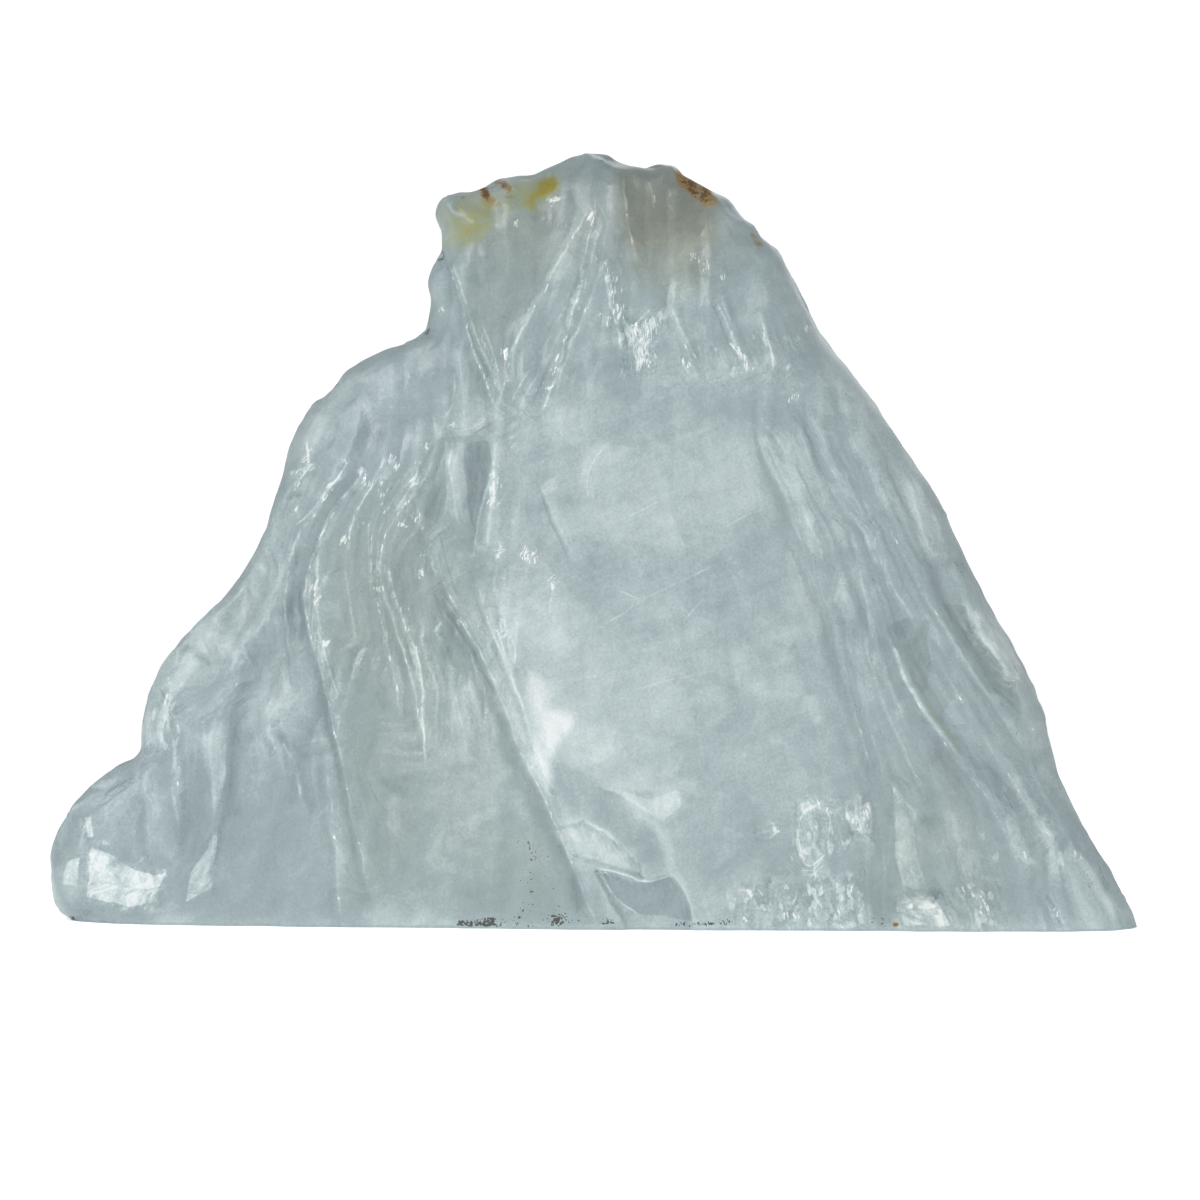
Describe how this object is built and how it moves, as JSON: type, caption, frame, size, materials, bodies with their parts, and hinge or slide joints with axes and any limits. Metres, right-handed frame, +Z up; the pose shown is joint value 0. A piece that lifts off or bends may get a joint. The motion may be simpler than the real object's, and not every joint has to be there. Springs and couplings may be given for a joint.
{
  "type": "selenite slab",
  "caption": "Raw selenite slab, a rough mountain-shaped piece with draped folds on its face, sawn flat along the bottom so that it stands.",
  "frame": {"origin": "centre of the bounding box, on the plane of the sawn foot that it stands on", "axes": "+X to the right along the slab's width as seen from its folded front, +Y from the front through the slab to its back, +Z up from the foot to the crest; the folded front faces -Y"},
  "size_m": [0.2197, 0.0528, 0.1558],
  "materials": {
    "selenite": "Translucent milky gypsum with a silky to glassy surface: fibrous folds, clear windows, white veils, and ochre and rust stains at the crest and foot."
  },
  "bodies": {
    "root": {"selenite_slab": "selenite"}
  },
  "joints": []
}
